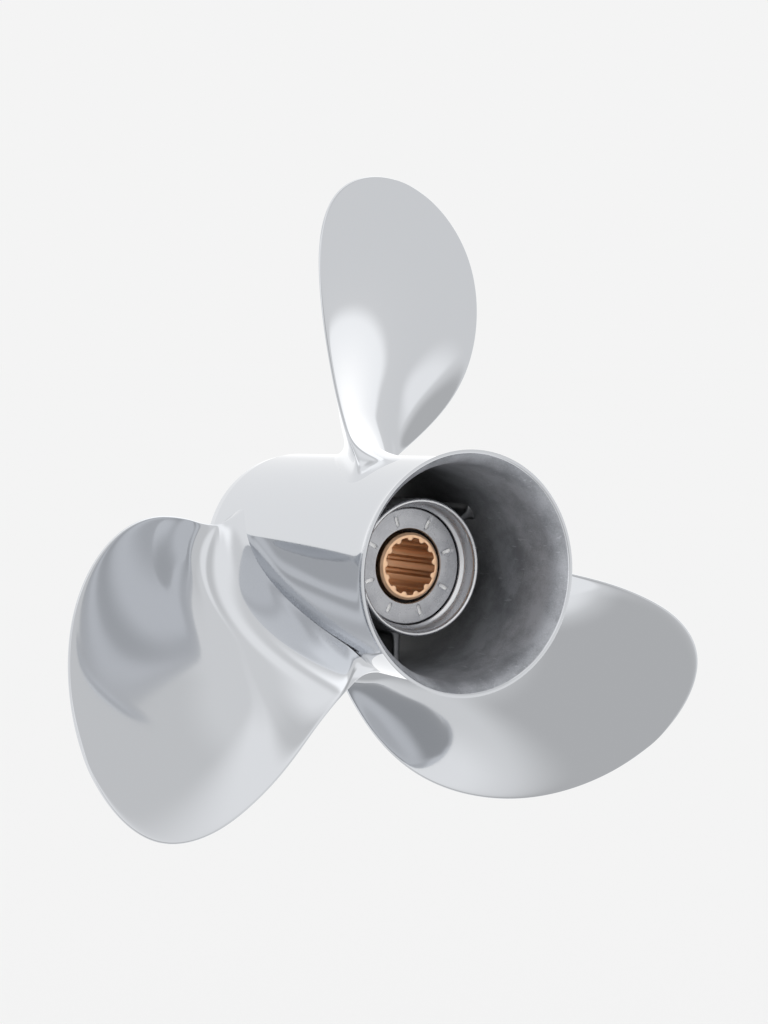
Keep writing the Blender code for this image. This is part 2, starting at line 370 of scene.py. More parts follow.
def blasted(coat: Coat, shadow: Colour, light: Colour) -> tuple[Socket, Amount, Amount]:
    """Shell-moulded and blasted steel, left as cast inside the barrel.

    Args:
        coat: the coat to paint on.
        shadow: colour of its dark patches.
        light: colour of its light patches and scratches.

    Returns:
        The colour, the roughness and the relief.
    """
    grain = coat.noise(coat.where, scale=1900.0, detail=3.0, rough=0.6)
    mottle = coat.noise(coat.where, scale=75.0, detail=5.0, rough=0.65)
    scratches = coat.noise(coat.drawn(0.18), scale=700.0).step(0.66, 0.74)
    shade = 0.7 * mottle + 0.3 * grain + 0.25 * scratches
    colour = coat.blend(shade.step(0.35, 0.65), shadow, light)
    return colour, 0.34 + 0.22 * mottle, grain + 0.6 * mottle - 0.8 * scratches


@dataclass(frozen=True)
class MirrorStainless(Finish):
    """Mirror-polished blades, a little duller in the root fillet where the mop can't reach."""

    shade: Colour = POLISHED_SHADE
    pit: float = 0.18
    root_radii: Pair = (47.5, 44.5)

    def paint(self, coat: Coat) -> None:
        """Polish with small casting pits close to the barrel.

        Args:
            coat: the coat to paint on.
        """
        radius, _ = coat.round_shaft()
        root = radius.step(*self.root_radii)
        rough, height = polish(coat)
        patches = coat.noise(coat.where, scale=45.0).step(0.56, 0.66)
        pits = coat.noise(coat.where, scale=520.0, detail=3.0, rough=0.6).step(0.62, 0.72)
        pits = pits * root * patches
        colour = coat.blend(pits * 0.4, self.shade, grey(self.pit))
        coat.feed(colour, rough + 0.03 * root + 0.2 * pits, height - pits)


@dataclass(frozen=True, kw_only=True)
class BarrelStainless(Finish):
    """Mirror polish outside and on the rim, blasted inside.

    The radii, neck_station and taper are the barrel's own. skin is how far the casting skin hides
    the metal, and painted_shade_reach is where the painted shade deep in the passage starts and
    where it is darkest.
    """

    rim_radius: float
    neck_radius: float
    neck_station: float
    taper: float
    shade: Colour = POLISHED_SHADE
    light: Colour = (0.50, 0.515, 0.55, 1.0)
    shadow: Colour = (0.30, 0.31, 0.335, 1.0)
    skin: float = 0.6
    painted_shade_reach: Pair = (8.0, 105.0)
    wall_depths: Pair = (0.8, 1.2)
    rim_depths: Pair = (0.2, 0.6)

    def paint(self, coat: Coat) -> None:
        """Splits inside from outside by the depth under the outer surface.

        Args:
            coat: the coat to paint on.
        """
        radius, station = coat.round_shaft()
        flare = (1.0 - station / self.neck_station).at_least(0.0)
        outer = (
            flare * flare * (self.rim_radius - self.neck_radius)
            + self.neck_radius
            - (station - self.neck_station).at_least(0.0) * self.taper
        )
        within = (outer - radius).step(*self.wall_depths) * station.step(*self.rim_depths)
        rough, height = polish(coat)
        cast, cast_rough, cast_height = blasted(coat, self.shadow, self.light)
        # painted shade: the cast inside darkens towards near black deeper in the passage
        cast = with_painted_shade(coat, cast, station, self.painted_shade_reach)
        coat.link("Metallic", (1.0 - within * self.skin).socket)
        coat.feed(
            coat.blend(within, self.shade, cast),
            rough + within * (cast_rough - rough),
            height * (1.0 - within) + cast_height * within * CAST_RELIEF,
        )


@dataclass(frozen=True)
class HubStainless(Finish):
    """The hub tube: blasted outside, bored and polished inside and on its rear lip."""

    shade: Colour = (0.70, 0.705, 0.72, 1.0)
    light: Colour = (0.55, 0.555, 0.57, 1.0)
    shadow: Colour = (0.34, 0.34, 0.35, 1.0)
    painted_shade_reach: Pair = (37.0, 60.0)
    bore_radii: Pair = (25.2, 25.7)
    lip_stations: Pair = (35.6, 36.4)
    turning: float = 9.0

    def paint(self, coat: Coat) -> None:
        """Splits the polished bore from the cast outside.

        Args:
            coat: the coat to paint on.
        """
        radius, station = coat.round_shaft()
        outside = radius.step(*self.bore_radii) * station.step(*self.lip_stations)
        cast, cast_rough, cast_height = blasted(coat, self.shadow, self.light)
        # painted shade: the cast outside darkens towards near black deeper in the passage
        cast = with_painted_shade(coat, cast, station, self.painted_shade_reach)
        marks = coat.math("SINE", station * self.turning) * 0.12
        cloud = coat.noise(coat.where, scale=90.0, detail=3.0)
        rough = 0.20 + 0.14 * cloud
        coat.feed(
            coat.blend(outside, self.shade, cast),
            rough + outside * (cast_rough - rough),
            (cloud + marks) * (1.0 - outside) + cast_height * outside * CAST_RELIEF,
        )


@dataclass(frozen=True)
class CastStainless(Finish):
    """Ribs between the hub and the barrel."""

    depth: float = 2e-5
    light: Colour = (0.60, 0.605, 0.62, 1.0)
    shadow: Colour = (0.38, 0.385, 0.40, 1.0)
    painted_shade_reach: Pair = (25.0, 75.0)

    def paint(self, coat: Coat) -> None:
        """Blasted all over, with painted shade darkening the ribs deeper in the passage.

        Args:
            coat: the coat to paint on.
        """
        _, station = coat.round_shaft()
        colour, rough, height = blasted(coat, self.shadow, self.light)
        # painted shade: the ribs darken towards near black deeper in the passage
        coat.feed(with_painted_shade(coat, colour, station, self.painted_shade_reach), rough, height)


@dataclass(frozen=True)
class TurnedSteel(Finish):
    """Face-turned ring with fine concentric tool marks."""

    depth: float = 1e-5
    light: Colour = (0.50, 0.505, 0.525, 1.0)
    dark: Colour = (0.36, 0.365, 0.385, 1.0)
    slot_glint_grey: float = 0.97
    groove: float = 0.42
    face_station: float = 44.2
    slot_radii: Pair = (15.7, 20.3)
    slot_depths: Pair = (0.2, 0.5)
    slot_edge: float = 0.2

    def paint(self, coat: Coat) -> None:
        """Rings of noise that depend on the radius alone, over a slow mottle; the slots painted
        near white, a painted glint.

        Args:
            coat: the coat to paint on.
        """
        radius, station = coat.round_shaft()
        mottle = coat.noise(coat.where, scale=160.0, detail=3.0, rough=0.6)
        grooves = coat.math("SINE", radius * (2 * math.pi / self.groove))
        across = coat.node("ShaderNodeCombineXYZ", None, {"X": radius})
        uneven = coat.noise(across.outputs["Vector"], scale=2.3, detail=3.0, rough=0.7)
        colour = coat.blend((0.5 * mottle + 0.5 * uneven).step(0.3, 0.7), self.dark, self.light)
        # painted glint: the slot floors are painted near white and made rougher
        low, high = self.slot_radii
        slot = (station - self.face_station).step(*self.slot_depths)
        slot = slot * radius.step(low, low + self.slot_edge)
        slot = slot * radius.step(high, high - self.slot_edge)
        coat.feed(
            coat.blend(slot, colour, grey(self.slot_glint_grey)),
            0.20 + 0.14 * mottle + 0.3 * slot,
            (grooves * 0.5 + 2.0 * uneven) * (1.0 - slot),
        )


@dataclass(frozen=True)
class BoundRubber(Finish):
    """Black rubber between the sleeve and the hub."""

    depth: float = 3e-5
    black: Colour = (0.010, 0.010, 0.011, 1.0)
    dusty: Colour = (0.030, 0.029, 0.028, 1.0)

    def paint(self, coat: Coat) -> None:
        """Dull black with a little dust in the pores.

        Args:
            coat: the coat to paint on.
        """
        pores = coat.noise(coat.where, scale=900.0, detail=3.0, rough=0.6)
        dust = coat.noise(coat.where, scale=110.0)
        colour = coat.blend(dust.step(0.4, 0.75), self.black, self.dusty)
        coat.feed(colour, 0.5 + 0.3 * pores, pores)


@dataclass(frozen=True)
class SleeveBrass(Finish):
    """Machined brass, dull and brown down the splined bore."""

    depth: float = 8e-6
    light: Colour = (1.0, 0.66, 0.42, 1.0)
    dark: Colour = (0.86, 0.55, 0.35, 1.0)
    bore: Colour = (0.78, 0.57, 0.40, 1.0)
    bore_radii: Pair = (11.5, 11.2)
    end_depths: Pair = (0.2, 1.0)
    rear_station: float = 42.8

    def paint(self, coat: Coat) -> None:
        """Bright on the rear face, tarnished and streaked along the teeth.

        Args:
            coat: the coat to paint on.
        """
        radius, station = coat.round_shaft()
        past_face = (station - self.rear_station).step(*self.end_depths)
        inside = radius.step(*self.bore_radii) * past_face
        mottle = coat.noise(coat.where, scale=260.0, detail=3.0, rough=0.6)
        streaks = coat.noise(coat.drawn(0.03), scale=1400.0)
        bright = coat.blend(mottle.step(0.3, 0.7), self.dark, self.light)
        dull = coat.blend(streaks.step(0.45, 0.75), self.bore, self.dark)
        colour = coat.blend(inside, bright, dull)
        coat.feed(colour, 0.26 + 0.14 * mottle + 0.1 * inside, streaks)


@dataclass(frozen=True)
class StudioFloor(Finish):
    """Plain pale floor."""

    depth: float = 1e-5
    pale: float = 0.93
    pale_too: float = 0.925

    def paint(self, coat: Coat) -> None:
        """An almost even matt surface.

        Args:
            coat: the coat to paint on.
        """
        cloud = coat.noise(coat.where, scale=1.5)
        colour = coat.blend(cloud, grey(self.pale), grey(self.pale_too))
        coat.feed(colour, 0.85 + 0.05 * cloud, cloud)
        coat.shader.inputs["Specular IOR Level"].default_value = 0.0


MIRROR = MirrorStainless("mirror_stainless")
HUB = HubStainless("hub_stainless")
CAST = CastStainless("blasted_stainless")
TURNED = TurnedSteel("turned_ring_steel")
BOUND_RUBBER = BoundRubber("bound_rubber", metallic=0.0)
BRASS = SleeveBrass("sleeve_brass")
FLOOR = StudioFloor("studio_floor", metallic=0.0)


# ---------------------------------------------------------------- shared shaping

MOST_OF_SIDE = 0.45


@dataclass(frozen=True)
class Corner:
    """One point of a turned profile.

    edge is the size of its rounding, or 0 where the profile runs on smoothly.
    """

    station: float
    radius: float
    edge: float = 0.0


def supported(profile: Sequence[Corner]) -> list[Pair]:
    """Adds a point on each side of every rounded corner, which holds the rounding to its size.

    Args:
        profile: a closed profile.

    Returns:
        (station, radius) points of the cage.
    """
    points: list[Pair] = []
    for index, corner in enumerate(profile):
        here = Vector((corner.station, corner.radius))
        if not corner.edge:
            points.append(tuple(here))
            continue
        beside = []
        for other in (profile[index - 1], profile[(index + 1) % len(profile)]):
            toward = Vector((other.station, other.radius)) - here
            step = min(corner.edge, MOST_OF_SIDE * toward.length)
            beside.append(tuple(here + toward.normalized() * step))
        points += [beside[0], tuple(here), beside[1]]
    return points


def shown(obj: bpy.types.Object, finish: Finish) -> bpy.types.Object:
    """Links an object to the scene and gives it its finish.

    Args:
        obj: the object.
        finish: its finish.

    Returns:
        The same object.
    """
    bpy.context.scene.collection.objects.link(obj)
    obj.data.materials.append(finish.made())
    return obj


def smoothed(obj: bpy.types.Object, levels: int) -> None:
    """Adds a Subdivision Surface whose render matches the viewport."""
    modifier = obj.modifiers.new("smooth_skin", "SUBSURF")
    modifier.levels = modifier.render_levels = levels


def broken_edges(obj: bpy.types.Object, width: float, sharpest: float) -> None:
    """Adds a Bevel that breaks the sharp edges.

    Args:
        obj: the object.
        width: width of the break, in millimetres.
        sharpest: degrees of turn above which an edge is broken.
    """
    modifier = obj.modifiers.new("broken_edges", "BEVEL")
    modifier.width = width * MM
    modifier.segments = 2
    modifier.limit_method = "ANGLE"
    modifier.angle_limit = math.radians(sharpest)


def band(bm: bmesh.types.BMesh, near: Sequence, far: Sequence) -> None:
    """Joins two closed loops of the same count with a band of quads."""
    for corners in zip(near, [*near[1:], near[0]], [*far[1:], far[0]], far):
        bm.faces.new(corners)


def finished_mesh(bm: bmesh.types.BMesh, name: str) -> bpy.types.Mesh:
    """Turns the faces outwards, and takes millimetres and stations to the frame.

    Args:
        bm: the mesh in work, which is freed.
        name: name of the finished mesh.

    Returns:
        The finished mesh.
    """
    bmesh.ops.recalc_face_normals(bm, faces=bm.faces)
    bmesh.ops.translate(bm, vec=(0.0, -RIM_TO_ORIGIN, 0.0), verts=bm.verts)
    bmesh.ops.scale(bm, vec=(MM, MM, MM), verts=bm.verts)
    mesh = bpy.data.meshes.new(name)
    bm.to_mesh(mesh)
    bm.free()
    return mesh


def turned_piece(
    name: str, profile: Sequence[Corner], finish: Finish, steps: int = 64, levels: int = 2
) -> bpy.types.Object:
    """Turns a closed profile round the shaft and smooths it.

    The profile runs forward to aft along the outside and back along the bore. Its radii are
    opened a little, by what the smoothing draws in.

    Args:
        name: the piece's name.
        profile: corners in millimetres.
        finish: its finish.
        steps: sides of the turned cage.
        levels: levels of smoothing, or 0 for none.

    Returns:
        The piece, with its modifiers live.
    """
    opened = 3.0 / (2.0 + math.cos(2 * math.pi / steps))
    points = supported(profile)
    verts = [(r * MM * opened, (s - RIM_TO_ORIGIN) * MM, 0.0) for s, r in points]
    edges = [(i, (i + 1) % len(verts)) for i in range(len(verts))]
    mesh = bpy.data.meshes.new(name)
    mesh.from_pydata(verts, edges, [])
    obj = shown(bpy.data.objects.new(name, mesh), finish)
    screw = obj.modifiers.new("turned", "SCREW")
    screw.axis = "Y"
    screw.steps = screw.render_steps = steps
    screw.use_merge_vertices = True
    screw.merge_threshold = MERGE
    screw.use_smooth_shade = True
    if levels:
        smoothed(obj, levels)
    return obj


def skinned_piece(
    name: str, rings: Sequence[Sequence[Sequence[float]]], finish: Finish
) -> bpy.types.Object:
    """Skins a stack of closed rings of points, and closes both ends with strips of quads.

    Args:
        name: the piece's name.
        rings: rings of the same even count, in millimetres, each mirrored about its middle.
        finish: its finish.

    Returns:
        The piece.
    """
    bm = bmesh.new()
    loops = [[bm.verts.new(tuple(p)) for p in ring] for ring in rings]
    for near, far in zip(loops, loops[1:]):
        band(bm, near, far)
    for loop in (loops[0], loops[-1]):
        for i in range(len(loop) // 2 - 1):
            bm.faces.new((loop[i], loop[i + 1], loop[-2 - i], loop[-1 - i]))
    mesh = finished_mesh(bm, name)
    mesh.shade_smooth()
    return shown(bpy.data.objects.new(name, mesh), finish)


def turned_to(rings: Sequence[Sequence[Sequence[float]]], angle: float) -> list[list[Vector]]:
    """Turns rings of points round the shaft by an angle in degrees."""
    turn = Matrix.Rotation(math.radians(angle), 3, "Y")
    return [[turn @ Vector(point) for point in ring] for ring in rings]


def settled(obj: bpy.types.Object, body: Body, slot: Slot, *nodes: str) -> bpy.types.Object:
    """Ties a finished piece to its body, and hides the CAD nodes that it stands for.

    Args:
        obj: the piece.
        body: the body that it rides on.
        slot: its material slot; not used.
        nodes: the nodes that it replaces.

    Returns:
        The piece.
    """
    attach(obj, body.value)
    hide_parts(*nodes)
    return obj


# ---------------------------------------------------------------- barrel and hub


@dataclass
class ExhaustBarrel:
    """The outer tube that the blades stand on: a short flare aft and a slight taper forward."""

    length: float = 139.0
    rim_radius: float = 46.8
    neck_radius: float = 43.7
    neck_station: float = 9.0
    front_radius: float = 40.2
    chamfer: Pair = (5.0, 0.6)
    wall: float = 3.0
    rim_wall: float = 1.4
    rim_edge: float = 0.55
    shoulder_edge: float = 0.3
    edge: float = 0.5
    stations: tuple[float, ...] = (2.2, 4.5, 7.0, 10.0, 14.0, 22.0, 40.0, 65.0, 90.0, 115.0)

    def taper(self) -> float:
        """How fast the radius falls forward of the neck."""
        return (self.neck_radius - self.front_radius) / (self.length - self.neck_station)

    def outer(self, station: float) -> float:
        """Outer radius, which BarrelStainless works out too.

        Args:
            station: where along the shaft.

        Returns:
            The radius there.
        """
        if station < self.neck_station:
            rise = 1.0 - station / self.neck_station
            return self.neck_radius + (self.rim_radius - self.neck_radius) * rise * rise
        return self.neck_radius - (station - self.neck_station) * self.taper()

    def inner(self, station: float) -> float:
        """Bore radius at a station: the wall thins towards the rim."""
        thinning = (self.wall - self.rim_wall) * math.exp(-station / self.neck_station)
        return self.outer(station) - self.wall + thinning

    def build(self) -> bpy.types.Object:
        """Turns the barrel, with its rounded rim and front chamfer.

        Returns:
            The piece.
        """
        finish = BarrelStainless(
            "barrel_stainless",
            rim_radius=self.rim_radius,
            neck_radius=self.neck_radius,
            neck_station=self.neck_station,
            taper=self.taper(),
        )
        along, across = self.chamfer
        shoulder = self.length - along
        profile = [
            Corner(self.length, self.outer(self.length) - across, self.edge),
            Corner(shoulder, self.outer(shoulder), self.shoulder_edge),
        ]
        profile += [Corner(s, self.outer(s)) for s in reversed(self.stations)]
        profile += [
            Corner(0.0, self.rim_radius, self.rim_edge),
            Corner(0.0, self.rim_radius - self.rim_wall, self.edge),
        ]
        profile += [Corner(s, self.inner(s)) for s in self.stations]
        profile.append(Corner(self.length, self.inner(self.length), self.edge))
        barrel = turned_piece("exhaust_barrel", profile, finish, steps=72)
        return settled(barrel, Body.WHEEL, Slot.POLISHED, "outer_barrel")


@dataclass
class HubTube:
    """The inner tube that the cushion is pressed into.

    bead_line runs aft along the outside of the lip, and mouth_line forward into the counterbore.
    Each row is a distance from the rear end, and then the share of the bead's height there or how
    far the mouth stands outside the counterbore.
    """

    rear: float = 35.2
    front: float = 122.0
    radius: float = 26.1
    bore: float = 22.9
    counterbore: float = 24.4
    seat_station: float = 42.4
    seat_radius: float = 24.5
    floor: float = 43.6
    bead: float = 0.8
    bead_line: tuple[Pair, ...] = ((12.0, 0.0), (5.0, 0.5), (1.6, 1.0), (0.3, 0.6))
    lip_drop: float = 0.4
    mouth_line: tuple[Pair, ...] = ((0.6, 0.5), (2.2, 0.3), (6.6, 0.2))
    front_edge: float = 0.5
    floor_edge: float = 0.2

    def build(self) -> bpy.types.Object:
        """Turns the tube, with its rounded lip and polished counterbore.

        Returns:
            The piece.
        """
        edge = self.floor_edge
        profile = [Corner(self.front, self.radius, self.front_edge)]
        for run, share in self.bead_line:
            profile.append(Corner(self.rear + run, self.radius + share * self.bead))
        profile.append(Corner(self.rear, self.radius - self.lip_drop))
        for run, proud in self.mouth_line:
            profile.append(Corner(self.rear + run, self.counterbore + proud))
        profile += [
            Corner(self.seat_station, self.seat_radius),
            Corner(self.floor - edge, self.bore + 0.5 * edge, edge),
            Corner(self.floor, self.bore, edge),
            Corner(self.front, self.bore, 2.0 * edge),
        ]
        hub = turned_piece("hub_tube", profile, HUB)
        return settled(hub, Body.WHEEL, Slot.CAST, "inner_hub")


@dataclass
class Rib:
    """A cast web across the exhaust passage, filleted into the hub and the barrel.

    rounding gives its ends: a distance from the end, and the share of the thickness there. skirt
    is how far the foot of a fillet stands off the wall, and fillet_rise is the share of the
    fillet where its hollow is deepest.
    """

    number: int
    angle: float
    barrel: ExhaustBarrel
    hub_radius: float = 26.1
    rear: float = 52.5
    front: float = 116.0
    thickness: float = 3.2
    fillet: float = 2.6
    sink: float = 0.8
    skirt: float = 0.1
    fillet_rise: float = 0.3
    rounding: tuple[Pair, ...] = ((0.0, 0.35), (0.3, 0.85), (1.6, 1.0), (12.0, 1.0))

    def section(self, station: float, share: float) -> list[tuple[float, float, float]]:
        """One ring of the web.

        Args:
            station: where along the shaft.
            share: share of the full thickness, below 1 at the rounded ends.

        Returns:
            Points of the ring, starboard side out and then the other side back.
        """
        inner, outer = self.hub_radius, self.barrel.inner(station)
        half = 0.5 * self.thickness * share
        wide = half + self.fillet * share
        rise = self.fillet_rise * self.fillet
        foot = (
            (-self.sink, wide),
            (self.skirt, wide),
            (rise, half + rise * share),
            (self.fillet, half),
        )
        heights = [(inner + up, across) for up, across in foot]
        heights.append((0.5 * (inner + outer), half))
        heights += [(outer - up, across) for up, across in reversed(foot)]
        ring = [(across, station, radius) for radius, across in heights]
        return ring + [(-across, station, radius) for radius, across in reversed(heights)]

    def build(self) -> bpy.types.Object:
        """Skins the web and turns it to its angle round the shaft.

        Returns:
            The piece.
        """
        rings = [self.section(self.rear + run, share) for run, share in self.rounding]
        rings += [self.section(self.front - run, share) for run, share in reversed(self.rounding)]
        rib = skinned_piece(f"passage_rib_{self.number}", turned_to(rings, self.angle), CAST)
        smoothed(rib, 2)
        return settled(rib, Body.WHEEL, Slot.CAST, f"rib_{self.number}")


# ---------------------------------------------------------------- blades


def polynomial(terms: Sequence[float], value: float) -> float:
    """The polynomial with these terms, lowest first, at value."""
    return sum(term * value**power for power, term in enumerate(terms))


def curve_through(points: np.ndarray, lengths: np.ndarray, where: np.ndarray) -> np.ndarray:
    """Natural cubic spline through points.

    Args:
        points: the points, one to a row.
        lengths: the length along the curve at each point.
        where: the lengths to read the curve at.

    Returns:
        The curve's points there.
    """
    steps = np.diff(lengths)
    count = len(points)
    system = np.eye(count)
    right = np.zeros_like(points)
    for i in range(1, count - 1):
        system[i, i - 1 : i + 2] = (steps[i - 1], 2 * (steps[i - 1] + steps[i]), steps[i])
        after, before = points[i + 1] - points[i], points[i] - points[i - 1]
        right[i] = 6 * (after / steps[i] - before / steps[i - 1])
    bend = np.linalg.solve(system, right)
    spans = np.clip(np.searchsorted(lengths, where, side="right") - 1, 0, count - 2)
    step = steps[spans][:, None]
    gone = (where - lengths[spans])[:, None]
    left = step - gone
    curve = (bend[spans] * left**3 + bend[spans + 1] * gone**3) / (6 * step)
    curve += (points[spans] / step - bend[spans] * step / 6) * left
    return curve + (points[spans + 1] / step - bend[spans + 1] * step / 6) * gone


@dataclass
class Blade:
    """One blade: a cambered, raked helicoid with a rounded edge and a root fillet.

    outline holds (angle, radius) points of the blade with its root unrolled, from the trailing
    edge round the tip to the leading one. mid_station, pitch and camber are polynomials of the
    share of the span, and root_line is one of the angle. degree is the length that one degree
    counts for along the outline, skirt is how far the lowest fillet row sinks into the barrel, and
    nudge is the small step that the normal is read over. mirrored says whether the polish of the
    other pieces shows this blade.
    """

    number: int
    angle: float
    barrel: ExhaustBarrel
    mirrored: bool = True
    outline: tuple[Pair, ...] = (
        (-31.5, 43.2),
        (-27.0, 65.8),
        (-24.3, 89.5),
        (-21.1, 115.2),
        (-17.2, 135.9),
        (-13.2, 146.2),
        (16.0, 135.9),
        (30.2, 115.2),
        (41.0, 89.5),
        (45.0, 65.8),
        (45.0, 43.2),
    )
    root: float = 43.2
    tip: float = 146.2
    mid_station: tuple[float, ...] = (105.9, -78.8, 28.5)
    pitch: tuple[float, ...] = (542.0, -268.0, 21.0)
    camber: tuple[float, ...] = (-171.0, 133.0, 21.5)
    droop: float = -69.0
    root_line: tuple[float, float, float] = (84.0, 428.0, -60.0)
    root_reach: float = 0.3
    edge: float = 1.4
    root_thickness: float = 7.5
    tip_thickness: float = 2.2
    aft_fillet: float = 16.0
    forward_fillet: float = 7.0
    end_fillet: float = 6.0
    fillet_turns: tuple[float, ...] = (0.0, 20.0, 38.0, 54.0, 68.0, 80.0, 90.0)
    sink: float = 0.9
    cap_shares: tuple[float, ...] = (0.92, 0.6, 0.25)
    rows: int = 16
    columns: int = 12
    tip_half_width: float = 3.0
    edge_turn: float = 50.0
    thinning: float = 1.3
    fullness: float = 0.7
    degree: float = 1.75
    first_row: float = 3.0
    skirt: float = 0.08
    nudge: float = 0.1

    def free_station(self, angle: float, span: float) -> float:
        """Station of the middle surface away from the root.

        Args:
            angle: degrees round the shaft.
            span: share of the way from root to tip.

        Returns:
            The station.
        """
        part = angle / 100.0
        flat = polynomial(self.mid_station, span) + polynomial(self.pitch, span) * angle / 360.0
        return flat + polynomial(self.camber, span) * part**2 + self.droop * part**3

    def middle(self, angle: float, radius: float) -> np.ndarray:
        """Point of the middle surface.

        Args:
            angle: degrees round the shaft.
            radius: distance from it.

        Returns:
            The point.
        """
        span = (radius - self.root) / (self.tip - self.root)
        start, advance, bend = self.root_line
        line = start + advance * angle / 360.0 + bend * (angle / 100.0) ** 2
        share = max(0.0, 1.0 - span / self.root_reach) ** 2
        station = self.free_station(angle, span) + (line - self.free_station(angle, 0.0)) * share
        turn = math.radians(angle)
        return np.array((radius * math.sin(turn), station, radius * math.cos(turn)))

    def forward(self, angle: float, radius: float) -> np.ndarray:
        """Which way the forward side of the middle surface faces.

        Args:
            angle: degrees round the shaft.
            radius: distance from it.

        Returns:
            The unit normal.
        """
        step = self.nudge
        across = self.middle(angle + step, radius) - self.middle(angle - step, radius)
        outward = self.middle(angle, radius + step) - self.middle(angle, radius - step)
        normal = np.cross(across, outward)
        normal /= np.linalg.norm(normal)
        return normal if normal[1] > 0 else -normal

    def thickness(self, radius: float, share: float) -> float:
        """Thickness, which is greatest at mid chord and at the root.

        Args:
            radius: distance from the shaft.
            share: share of the chord.

        Returns:
            The thickness there.
        """
        span = min(1.0, max(0.0, (radius - self.root) / (self.tip - self.root)))
        gained = (self.root_thickness - self.tip_thickness) * (1 - span) ** self.thinning
        most = self.tip_thickness + gained
        return self.edge + (most - self.edge) * (4 * share * (1 - share)) ** self.fullness

    def spread(self, fillet: float, height: float) -> float:
        """How far a quarter-round fillet stands out.

        Args:
            fillet: its radius.
            height: height over the barrel.

        Returns:
            The distance, which goes on growing below the surface.
        """
        left = min(1.0, max(0.0, 1.0 - height / fillet))
        skirt = max(0.0, -height)
        return fillet * (1.0 - math.sqrt(1.0 - left * left)) + skirt

    def face(self, radii: Pair, whole: float, blunt: float, out: float) -> list[Pair]:
        """One face of a section, crowded towards its edges.

        Args:
            radii: distance of the trailing and of the leading edge from the shaft.
            whole: length of the section with the fillets at its ends.
            blunt: how far in from each end the face starts.
            out: how far the root fillet stands out.

        Returns:
            (distance, depth) points between the middles of the two edges.
        """
        turn = math.radians(self.edge_turn)
        corner = (blunt * (1 - math.cos(turn)), (0.5 * self.edge + out) * math.sin(turn))
        points = [corner]
        for column in range(self.columns + 1):
            share = 0.5 - 0.5 * math.cos(math.pi * column / self.columns)
            radius = radii[0] + (radii[1] - radii[0]) * share
            depth = 0.5 * self.thickness(radius, share) + out
            points.append((blunt + (whole - 2 * blunt) * share, depth))
        return [*points, (whole - corner[0], corner[1])]

    def section(self, tail: np.ndarray, lead: np.ndarray, height: float) -> list[np.ndarray]:
        """One ring round the blade.

        Args:
            tail: (angle, radius) of the trailing edge.
            lead: (angle, radius) of the leading edge.
            height: nominal height over the barrel.

        Returns:
            The ring, from the middle of the trailing edge along the forward face to the middle
            of the leading edge and back along the aft face.
        """
        chord = float(np.linalg.norm(self.middle(*lead) - self.middle(*tail)))
        ends = self.spread(self.end_fillet, height)
        whole, blunt = chord + 2 * ends, 0.5 * self.edge + ends
        radii = (tail[1], lead[1])
        fore = self.face(radii, whole, blunt, self.spread(self.forward_fillet, height))
        aft = self.face(radii, whole, blunt, self.spread(self.aft_fillet, height))
        ring = [(0.0, 0.0), *fore, (whole, 0.0)]
        ring += [(distance, -depth) for distance, depth in reversed(aft)]
        return [self.placed(tail, lead, chord, d - ends, o, height) for d, o in ring]

    def placed(
        self,
        tail: np.ndarray,
        lead: np.ndarray,
        chord: float,
        distance: float,
        offset: float,
        height: float,
    ) -> np.ndarray:
        """Puts one point of a section in place.

        Args:
            tail: (angle, radius) of the trailing edge.
            lead: (angle, radius) of the leading edge.
            chord: distance between them.
            distance: distance from the trailing edge.
            offset: distance forward of the middle surface.
            height: nominal height over the barrel, which is kept to near it.

        Returns:
            The point.
        """
        angle, radius = tail + (lead - tail) * (distance / chord)
        point = self.middle(angle, radius) + self.forward(angle, radius) * offset
        here = math.hypot(point[0], point[2])
        free = min(1.0, max(0.0, height / self.aft_fillet))
        hold = 1.0 - free * free * (3.0 - 2.0 * free)
        wanted = here + (self.barrel.outer(point[1]) + height - here) * hold
        return point * np.array((wanted / here, 1.0, wanted / here))

    def edges(self) -> tuple[np.ndarray, np.ndarray, np.ndarray]:
        """The ends of each row.

        Returns:
            Trailing and leading (angle, radius) of each row, and its height over the barrel.
        """
        points = np.array(self.outline)
        steps = np.hypot(np.diff(points[:, 0]) * self.degree, np.diff(points[:, 1]))
        lengths = np.concatenate([[0.0], np.cumsum(steps)])
        heights = self.aft_fillet * (1 - np.cos(np.radians(self.fillet_turns)))
        last = heights[-1] + self.first_row
        crowding = np.sin(0.5 * np.pi * np.linspace(0.0, 1.0, self.rows + 1))
        upper = last + (0.5 * lengths[-1] - self.tip_half_width - last) * crowding
        rows = np.concatenate([[0.0], heights, upper])
        trailing = curve_through(points, lengths, rows)
        leading = curve_through(points, lengths, lengths[-1] - rows)
        rows[0] = -self.sink
        rows[1] = -self.skirt
        return trailing, leading, rows

    def seated(self, ring: list[np.ndarray], share: float) -> list[np.ndarray]:
        """A narrower ring under the root, bent to the barrel so that the cap stays in its wall.

        Args:
            ring: the lowest ring of the blade.
            share: how far each point moves to the middle line.

        Returns:
            The ring.
        """
        inner = []
        for near, far in zip(ring, reversed(ring)):
            point = near + 0.5 * (far - near) * share
            here = math.hypot(point[0], point[2])
            wanted = self.barrel.outer(point[1]) - self.sink
            inner.append(point * np.array((wanted / here, 1.0, wanted / here)))
        return inner

    def build(self) -> bpy.types.Object:
        """Skins the blade and turns it to its angle round the shaft.

        Returns:
            The piece.
        """
        rings = [self.section(*row) for row in zip(*self.edges())]
        rings = [self.seated(rings[0], share) for share in self.cap_shares] + rings
        rings = turned_to(rings, self.angle)
        blade = skinned_piece(f"polished_blade_{self.number}", rings, MIRROR)
        smoothed(blade, 2)
        settled(blade, Body.WHEEL, Slot.POLISHED, f"blade_{self.number}")
        blade.visible_glossy = self.mirrored
        return blade


# ---------------------------------------------------------------- cushion hub


